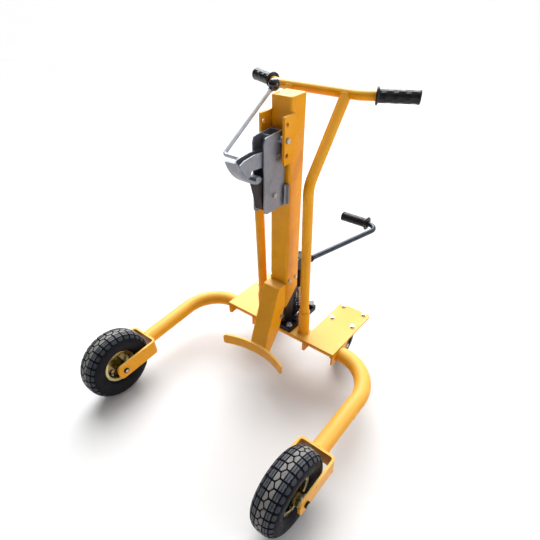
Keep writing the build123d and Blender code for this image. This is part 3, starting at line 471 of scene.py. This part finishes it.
def casing(shape, around=180):
    """The tyre's body under the blocks, with ribbed shoulders and a bead at the rim. In mm."""
    half = []
    for run in range(0, 44, 3):
        point, outward = on_crown(run * MM)
        half.append(point - outward * TREAD_DEPTH)
    for run, raised in ((46, 0.3), (47, 0.0), (49, -1.2), (50, -0.2), (52, 0.0), (53, -0.9),
                        (54, -0.2), (57, 0.0), (61, 0.0)):
        point, outward = on_crown(run * MM)
        half.append(point + outward * raised * MM)
    wall = [(42.9, 93), (42.7, 88), (41.9, 83), (40.9, 80.5), (41.3, 79.7), (40.4, 78.6),
            (38.2, 74), (35.0, 69.5), (31.5, 66.4), (29.2, 65.6), (27.6, 64.5), (25.2, 62.6),
            (25.2, 53.0)]
    half += [Vector((across * MM, radius * MM)) for across, radius in wall]
    outline = [(across, radius) for across, radius in reversed(half)]
    outline += [(-across, radius) for across, radius in half[1:]]
    lathe(shape, outline, around)


def wheel_place(node):
    """At the wheel's centre, with its Z along the axle (+X)."""
    return facing(centre_of(node), (1, 0, 0), (0, 0, 1))


def make_tyre(name):
    shape = Shape()
    casing(shape)
    tread(shape)
    node = f"{name}_tyre"
    shape.build(f"{name}_tyre_detail", wheel_place(node),
                [looks["tyre"], centre_block_sheen, slit_block_sheen, shoulder_block_sheen],
                f"{name}_wheel", (node,))


VALVE_R, VALVE_X = 47 * MM, 8 * MM   # the stem's foot: from the axle, and out from the middle


def make_valve(name, side):
    """A rubber valve stem with a metal cap, leaning out of the rim's face."""
    turn = math.radians(205 if side > 0 else 250)
    radial = Vector((0, math.sin(turn), math.cos(turn)))
    foot = centre_of(f"{name}_tyre") + radial * VALVE_R + Vector((VALVE_X, 0, 0))
    shape = Shape()
    lathe(shape, [(0, 0), (0, 4.5 * MM), (3 * MM, 4.2 * MM), (6 * MM, 3.2 * MM),
                  (15 * MM, 2.8 * MM), (15 * MM, 0)], 20)
    lathe(shape, [(15 * MM, 0), (15 * MM, 3.4 * MM), (16 * MM, 3.8 * MM), (23 * MM, 3.8 * MM),
                  (24.5 * MM, 2.8 * MM), (24.5 * MM, 0)], 20, number=1)
    lean = (Vector((1, 0, 0)) * 0.95 - radial * 0.25).normalized()
    shape.build(f"{name}_valve_stem", facing(foot, lean, radial), [looks["tyre"], looks["zinc"]],
                f"{name}_wheel")


# ---------------------------------------------------------------- grips
CELLS = 7                    # moulded cells round a grip
CELL_LENGTH = 15.2 * MM
GRIP_LENGTH = 111 * MM
GRIP_R, GRIP_FLANGE_R, GRIP_LIP_R = 16.5 * MM, 22.5 * MM, 18 * MM
GRIP_SWEEP = math.radians(23.8)
GRIP_CELL_DEPTH = 0.8 * MM
PEDAL_GRIP_LENGTH = 114 * MM
PEDAL_GRIP_R, PEDAL_FLANGE_R = 18 * MM, 26 * MM
PEDAL_CELL_DEPTH = 0.4 * MM


def recess(distance, turn):
    """0 to 1: how deep the moulded pattern is here. Rows of rounded cells, each row staggered."""
    row = math.floor(distance / CELL_LENGTH)
    long_share = distance / CELL_LENGTH - row - 0.5
    around = turn / (2 * math.pi) * CELLS + (0.5 if row % 2 else 0.0)
    around_share = around - math.floor(around) - 0.5

    def wall(share, half, soft):
        return min(1.0, max(0.0, (half - abs(share)) / soft))
    return wall(long_share, 0.42, 0.09) * wall(around_share, 0.40, 0.12)


def make_grip(name, place, length, radius, flange_r, body, node, cell_depth):
    """A moulded sleeve. Z runs outwards from the flange to the closed end.

    Rows are (distance along Z, radius, 1 where the cells are moulded in).
    """
    shape = Shape()
    around = CELLS * 16
    rows = [(0, flange_r * 0.55, 0), (0, flange_r - 1.5 * MM, 0),
            (0.8 * MM, flange_r - 0.4 * MM, 0), (2.6 * MM, flange_r, 0),
            (4.6 * MM, flange_r - 0.4 * MM, 0), (5.6 * MM, flange_r - 2.0 * MM, 0),
            (6.4 * MM, radius + 1.6 * MM, 0), (8.0 * MM, radius, 0)]
    start = 10 * MM
    end = length - 9 * MM
    count = round((end - start) / (0.8 * MM))
    rows += [(start + (end - start) * index / count, radius, 1) for index in range(count + 1)]
    rows += [(length - 7.5 * MM, radius, 0), (length - 6.5 * MM, radius + 0.7 * MM, 0),
             (length - 3.5 * MM, radius + 0.9 * MM, 0), (length - 1.2 * MM, radius - 0.2 * MM, 0),
             (length - 0.2 * MM, radius - 2.2 * MM, 0), (length, radius * 0.55, 0),
             (length - 1.0 * MM, radius * 0.45, 0), (length - 1.2 * MM, 0.5 * MM, 0)]
    turns = [2 * math.pi * index / around for index in range(around)]
    rings = []
    for along, ring_r, patterned in rows:
        radii = [ring_r - (cell_depth * recess(along - start, turn) if patterned else 0)
                 for turn in turns]
        rings.append(shape.ring([(r * math.cos(turn), r * math.sin(turn), along)
                                 for r, turn in zip(radii, turns)]))
    for first, second in zip(rings, rings[1:]):
        shape.bridge(first, second)
    shape.face(tuple(rings[-1]))
    shape.build(name, place, [looks["rubber_grip"]], body, (node,))


def handle_grips():
    for name, side in SIDES:
        low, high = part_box(f"{name}_grip")
        outward = Vector((side * math.cos(GRIP_SWEEP), math.sin(GRIP_SWEEP), 0))
        edge_x = high.x if side > 0 else low.x
        end = Vector((edge_x - side * GRIP_LIP_R * math.sin(GRIP_SWEEP),
                      high.y - GRIP_LIP_R * math.cos(GRIP_SWEEP), (low.z + high.z) / 2))
        place = facing(end - outward * GRIP_LENGTH, outward, (0, 0, 1))
        make_grip(f"{name}_grip_sleeve", place, GRIP_LENGTH, GRIP_R, GRIP_FLANGE_R, "frame",
                  f"{name}_grip", GRIP_CELL_DEPTH)


def pedal_grip():
    low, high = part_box("pedal_grip")
    middle = (low + high) / 2
    place = facing(Vector((high.x, middle.y, middle.z)), (-1, 0, 0), (0, 0, 1))
    make_grip("pedal_grip_sleeve", place, PEDAL_GRIP_LENGTH, PEDAL_GRIP_R, PEDAL_FLANGE_R, "pedal",
              "pedal_grip", PEDAL_CELL_DEPTH)


# ---------------------------------------------------------------- spring
SPRING_WIRE_R = 1.7 * MM
SPRING_COILS = 10


def spring():
    """A coil spring with closed ends."""
    low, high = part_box("return_spring")
    middle = (low + high) / 2
    coil_r = (high.x - low.x) / 2 - SPRING_WIRE_R
    foot = low.z + SPRING_WIRE_R
    travel = high.z - low.z - 2 * SPRING_WIRE_R
    closed = 2.1 * SPRING_WIRE_R
    pitch = (travel - 2 * closed) / (SPRING_COILS - 2)
    around, section = 30, 12
    shape = Shape()
    rings = []
    for step in range(SPRING_COILS * around + 1):
        turns = step / around
        rise = (closed * min(turns, 1) + pitch * min(max(turns - 1, 0), SPRING_COILS - 2)
                + closed * max(turns - SPRING_COILS + 1, 0))
        angle = 2 * math.pi * turns
        outward = Vector((math.cos(angle), math.sin(angle), 0))
        at = Vector((middle.x, middle.y, foot + rise)) + outward * coil_r
        rings.append(shape.ring([at + SPRING_WIRE_R * (
            outward * math.cos(2 * math.pi * index / section)
            + Vector((0, 0, 1)) * math.sin(2 * math.pi * index / section))
            for index in range(section)]))
    for first, second in zip(rings, rings[1:]):
        shape.bridge(first, second)
    shape.face(tuple(reversed(rings[0])), smooth=False)
    shape.face(tuple(rings[-1]), smooth=False)
    piece = shape.build("return_spring_coil", Matrix(), [looks["spring_steel"]], "frame",
                        ("return_spring",))
    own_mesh(piece)


# ---------------------------------------------------------------- ball knob
KNOB_R = 16 * MM
ROD_BEND = 4.8 * MM          # the rod's bend, in from the corner of its box
NECK_TOP = -14.4 * MM        # where the ball meets its neck, from the ball's centre


def ball_knob():
    """A plastic ball on a short neck, in line with the rod under it."""
    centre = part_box("ball_knob")[1] - Vector((KNOB_R, KNOB_R, KNOB_R))
    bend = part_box("release_rod")[0] + Vector((ROD_BEND, ROD_BEND, ROD_BEND))
    profile = [(-20 * MM, 4.4 * MM), (-20 * MM, 6.4 * MM), (-19.4 * MM, 7 * MM),
               (-15.4 * MM, 7 * MM)]
    steps = 48
    for step in range(steps + 1):
        angle = math.pi * step / steps - math.pi / 2
        if KNOB_R * math.sin(angle) > NECK_TOP:
            profile.append((KNOB_R * math.sin(angle), KNOB_R * math.cos(angle)))
    profile[-1] = (KNOB_R, 0)
    shape = Shape()
    lathe(shape, profile, 64)
    shape.build("ball_knob_detail", facing(centre, centre - bend, (1, 0, 0)),
                [looks["knob_plastic"]], "upper_jaw", ("ball_knob",))


# ---------------------------------------------------------------- weld beads
BEAD_STEP = 1.1 * MM
BEAD_SIDES = 8
RIPPLE, RIPPLE_STEPS = 0.16, 4   # how much a bead swells, and every how many steps
BEAD_END = 0.35                  # an open bead's ends, as a share of its radius
NO_AXIS = (0.31, 0.52, 0.79)     # a direction along which no bead runs


def bead(shape, path, radius, closed=False):
    """A rippled weld bead along a path of points."""
    points = list(path) + ([path[0]] if closed else [])
    line = []
    for a, b in zip(points, points[1:]):
        count = max(1, round((b - a).length / BEAD_STEP))
        line += [a.lerp(b, index / count) for index in range(count)]
    if not closed:
        line.append(points[-1])
    angles = [2 * math.pi * index / BEAD_SIDES for index in range(BEAD_SIDES)]
    rings = []
    for index, point in enumerate(line):
        before = line[index - 1] if index or closed else point
        after = line[(index + 1) % len(line)] if closed or index < len(line) - 1 else point
        tangent = (after - before).normalized()
        across = tangent.cross(Vector(NO_AXIS)).normalized()
        other = tangent.cross(across)
        ripple = 1.0 + RIPPLE * math.cos(2 * math.pi * index / RIPPLE_STEPS)
        if not closed and index in (0, len(line) - 1):
            ripple = BEAD_END
        rings.append(shape.ring([point + (across * math.cos(a) + other * math.sin(a))
                                 * radius * ripple for a in angles]))
    for first, second in zip(rings, rings[1:]):
        shape.bridge(first, second)
    if closed:
        shape.bridge(rings[-1], rings[0])
    else:
        shape.face(tuple(rings[0]))
        shape.face(tuple(reversed(rings[-1])))


def circle(centre, normal, radius, hint=(1, 0, 0), count=40, start=0.0, end=360.0):
    """Points on a circle, or on its arc from start to end in degrees."""
    place = facing(centre, normal, hint)
    steps = count if end - start >= 360 else count + 1
    angles = [math.radians(start + (end - start) * k / count) for k in range(steps)]
    return [place @ Vector((radius * math.cos(a), radius * math.sin(a), 0)) for a in angles]


def weld_piece(name, body, beads):
    """One object for all the beads of a joint: beads are (path, radius, closed)."""
    shape = Shape()
    for path, radius, closed in beads:
        bead(shape, path, radius, closed)
    shape.build(name, Matrix.Identity(4), [looks["yellow_paint"]], body)


def mirrored(point):
    return Vector((-point.x, point.y, point.z))


def both(beads):
    """The beads and their mirror images across the middle."""
    return beads + [([mirrored(point) for point in path], radius, closed)
                    for path, radius, closed in beads]


THIN, MEDIUM, THICK = 2.2 * MM, 2.4 * MM, 2.6 * MM   # the lifting column's bead radii
DRUM_R = 286 * MM
PLATE_T = 8 * MM
ARM_WELD = 78 * MM           # how far down the belly arm's side its weld runs


def lift_welds():
    """Bracket ears, belly arm and belly plate."""
    column_low, column_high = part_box("lift_column")
    ear_low, ear_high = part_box("gripper_brackets")
    arm_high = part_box("belly_arm")[1]
    plate_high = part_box("belly_plate")[1]
    front = column_low.y
    side = column_high.x
    rear = ear_high.y
    ears = [([Vector((side, front + 3 * MM, ear_high.z)), Vector((side, rear, ear_high.z))],
             MEDIUM, False),
            ([Vector((side, rear, ear_high.z - 6 * MM)), Vector((side, rear, ear_low.z + 6 * MM))],
             THIN, False),
            ([Vector((side - 1 * MM, front, ear_high.z - 12 * MM)),
              Vector((side - 1 * MM, front, ear_low.z + 12 * MM))], THIN, False)]
    weld_piece("bracket_welds", "lift", both(ears))
    arm_side = arm_high.x
    weld_end = arm_side - 2 * MM
    across = [([Vector((-weld_end, front, arm_high.z)), Vector((weld_end, front, arm_high.z))],
               THICK, False)]
    down = [([Vector((arm_side, front, arm_high.z - 2 * MM)),
              Vector((arm_side, front, arm_high.z - ARM_WELD))], THIN, False)]
    weld_piece("arm_welds", "lift", across + both(down))
    outer = DRUM_R + PLATE_T
    drum_centre = plate_high.y - DRUM_R - PLATE_T
    steps = 12
    end = math.asin(weld_end / outer)
    angles = [end * (2 * step / steps - 1) for step in range(steps + 1)]
    arc = [Vector((outer * math.sin(a), drum_centre + outer * math.cos(a), plate_high.z))
           for a in angles]
    weld_piece("plate_welds", "lift", [(arc, MEDIUM, False)])


POST_R = 15.5 * MM
POST_LEAN = (0, -0.0453, 1)      # the uprights' lower run
POST_TOP = (0, -157, -203)       # their upper run, down from the handlebar
SOCKET_R = 19.5 * MM
SOCKET_H = 98 * MM
BAR_R = 12.5 * MM
SADDLE_DROP = 5.5 * MM           # least distance of the handle's welds from the bar's centre
TUBE_R = 27 * MM
LEG_BACK = 149 * MM              # wheel centre to the back of the fork, along the leg
DECK_T = 6 * MM
DECK_INNER = 113 * MM            # the deck's inner side, from the middle
DECK_WELD_Y = 8 * MM             # the deck's weld, in front of the cross tube's centre


def frame_welds():
    """Sockets on the deck, uprights in their sockets, uprights on the bar."""
    socket_low, socket_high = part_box("upright_sockets")
    bar_low, bar_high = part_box("handlebar")
    post_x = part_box("right_upright")[0].x + POST_R
    foot = Vector((post_x, socket_high.y - SOCKET_R, socket_low.z))
    lean = Vector(POST_LEAN).normalized()
    socket_foot = circle(foot + Vector((0, 0, 1 * MM)), (0, 0, 1), SOCKET_R + 0.6 * MM)
    socket_top = circle(foot + lean * (SOCKET_H + 0.2 * MM), lean, POST_R + 1.6 * MM)
    weld_piece("socket_welds", "frame", both([(socket_foot, 2.6 * MM, True),
                                              (socket_top, 1.5 * MM, True)]))
    saddle = Vector((post_x, bar_low.y + BAR_R, (bar_low.z + bar_high.z) / 2))
    place = facing(saddle, POST_TOP, (1, 0, 0))
    reach = POST_R - 1 * MM
    count = 40
    ring = []
    for index in range(count):
        angle = 2 * math.pi * index / count
        away = reach * math.sin(angle)
        drop = math.sqrt(max(0.0, BAR_R ** 2 - away ** 2))
        ring.append(place @ Vector((reach * math.cos(angle), away, max(drop, SADDLE_DROP))))
    weld_piece("handle_welds", "frame", both([(ring, 2.0 * MM, True)]))


def leg_welds():
    """The ring where each leg tube meets its fork, and the deck on the cross tube."""
    hub = centre_of("right_tyre")
    cross = centre_of("cross_tube")
    along = Vector((0, cross.y - hub.y, cross.z - hub.z)).normalized()
    fork_back = hub + along * LEG_BACK
    rings = [(circle(fork_back + along * 0.6 * MM, along, TUBE_R + 0.4 * MM), 2.8 * MM, True)]
    deck_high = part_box("deck_plates")[1]
    for x in (deck_high.x, DECK_INNER):
        rings.append((circle(Vector((x, cross.y, cross.z)), (1, 0, 0), TUBE_R + 0.5 * MM,
                             (0, 0, 1), 20, 60, 170), 2.0 * MM, False))
    weld_y = cross.y - DECK_WELD_Y
    under = deck_high.z - DECK_T
    rings.append(([Vector((deck_high.x - 3 * MM, weld_y, under)),
                   Vector((DECK_INNER, weld_y, under))], 2.0 * MM, False))
    weld_piece("leg_welds", "frame", both(rings))


# ---------------------------------------------------------------- stage, lights, camera
FLOOR_HALF = 60.0
BACKDROP_R = 58.0


def grey(level):
    return (level, level, level)


def stage():
    """A pale floor that runs past the camera's view."""
    mesh = bpy.data.meshes.new("floor")
    corners = [(-FLOOR_HALF, -FLOOR_HALF, 0), (FLOOR_HALF, -FLOOR_HALF, 0),
               (FLOOR_HALF, FLOOR_HALF, 0), (-FLOOR_HALF, FLOOR_HALF, 0)]
    mesh.from_pydata(corners, [], [(0, 1, 2, 3)])
    material, tree, shader = new_material("pale_floor")
    tones = ramp(tree, noise(tree, 1.5, 2.0), [(0.3, grey(0.74)), (0.7, grey(0.755))])
    tree.links.new(tones, shader.inputs["Base Color"])
    shader.inputs["Roughness"].default_value = 0.9
    shader.inputs["Specular IOR Level"].default_value = 0.1
    mesh.materials.append(material)
    floor = bpy.data.objects.new("floor", mesh)
    bpy.context.collection.objects.link(floor)


def backdrop():
    """A plain pale surround behind everything. Only the camera sees it, so it lights nothing."""
    ball = bmesh.new()
    bmesh.ops.create_uvsphere(ball, u_segments=64, v_segments=32, radius=BACKDROP_R)
    mesh = bpy.data.meshes.new("backdrop")
    ball.to_mesh(mesh)
    ball.free()
    material, _, shader = new_material("pale_backdrop")
    shader.inputs["Base Color"].default_value = (*grey(0.0), 1)
    shader.inputs["Specular IOR Level"].default_value = 0.0
    shader.inputs["Emission Color"].default_value = (*grey(0.90), 1)
    shader.inputs["Emission Strength"].default_value = 1.0
    mesh.materials.append(material)
    surround = bpy.data.objects.new("backdrop", mesh)
    surround.visible_diffuse = False
    surround.visible_glossy = False
    surround.visible_transmission = False
    surround.visible_shadow = False
    bpy.context.collection.objects.link(surround)


def world_light():
    """A soft sky: bright above and behind the truck, dim on the side it is seen from."""
    world = bpy.data.worlds.new("studio")
    bpy.context.scene.world = world
    world.use_nodes = True
    tree = world.node_tree
    background = tree.nodes["Background"]
    place = tree.nodes.new("ShaderNodeTexCoord")
    lean = tree.nodes.new("ShaderNodeVectorMath")
    lean.operation = "DOT_PRODUCT"
    lean.inputs[1].default_value = (0.20, 0.45, 0.87)
    tree.links.new(place.outputs["Generated"], lean.inputs[0])
    sky = ramp(tree, lean.outputs["Value"], [(0.0, grey(0.10)), (0.35, grey(0.35)),
                                             (1.0, grey(1.0))])
    tree.links.new(sky, background.inputs["Color"])
    background.inputs["Strength"].default_value = 0.62


def sun(name, direction, strength, angle):
    """Parallel light that travels along direction."""
    light = bpy.data.lights.new(name, "SUN")
    light.energy = strength
    light.angle = math.radians(angle)
    lamp = bpy.data.objects.new(name, light)
    lamp.rotation_euler = Vector(direction).to_track_quat("-Z", "Y").to_euler()
    bpy.context.collection.objects.link(lamp)


def softbox(name, place, target, size, power):
    """A rectangular area light that faces the target."""
    light = bpy.data.lights.new(name, "AREA")
    light.shape = "RECTANGLE"
    light.size, light.size_y = size
    light.energy = power
    lamp = bpy.data.objects.new(name, light)
    lamp.location = place
    lamp.rotation_euler = (Vector(target) - Vector(place)).to_track_quat("-Z", "Y").to_euler()
    bpy.context.collection.objects.link(lamp)


CAMERA_PLACE = (0.7128, -0.9415, 1.2580)
SENSOR = 36                  # mm, as the lens
CAMERA_YAW, CAMERA_PITCH, CAMERA_ROLL = (math.radians(angle) for angle in (42.05, 40.29, -2.62))
CAMERA_LENS = 28.856
CAMERA_SHIFT = (0.0444, 0.0861)


def camera():
    """The photograph's viewpoint, fitted to the object's corners, tubes and wheels."""
    forward = Vector((-math.sin(CAMERA_YAW) * math.cos(CAMERA_PITCH),
                      math.cos(CAMERA_YAW) * math.cos(CAMERA_PITCH), -math.sin(CAMERA_PITCH)))
    level = Vector((math.cos(CAMERA_YAW), math.sin(CAMERA_YAW), 0))
    rise = level.cross(forward)
    right = level * math.cos(CAMERA_ROLL) + rise * math.sin(CAMERA_ROLL)
    upward = rise * math.cos(CAMERA_ROLL) - level * math.sin(CAMERA_ROLL)
    data = bpy.data.cameras.new("camera")
    data.sensor_width = SENSOR
    data.lens = CAMERA_LENS
    data.shift_x, data.shift_y = CAMERA_SHIFT
    eye = bpy.data.objects.new("camera", data)
    eye.matrix_world = (Matrix.Translation(CAMERA_PLACE)
                        @ Matrix((right, upward, -forward)).transposed().to_4x4())
    bpy.context.collection.objects.link(eye)
    bpy.context.scene.camera = eye


def lights():
    world_light()
    sun("back_sky", (0.38, -0.48, -0.79), 3.8, 56)
    softbox("back_box", (-2.0, 2.6, 2.6), (0, 0, 0.3), (3.0, 2.0), 70)
    softbox("right_box", (2.8, 0.5, 1.5), (0, 0, 0.5), (1.6, 1.6), 22)


bpy.context.scene.view_settings.view_transform = "Standard"
paint_cad()
accents()
for wheel_name, wheel_side in SIDES:
    make_tyre(wheel_name)
    make_valve(wheel_name, wheel_side)
handle_grips()
pedal_grip()
spring()
ball_knob()
lift_welds()
frame_welds()
leg_welds()
stage()
backdrop()
lights()
camera()
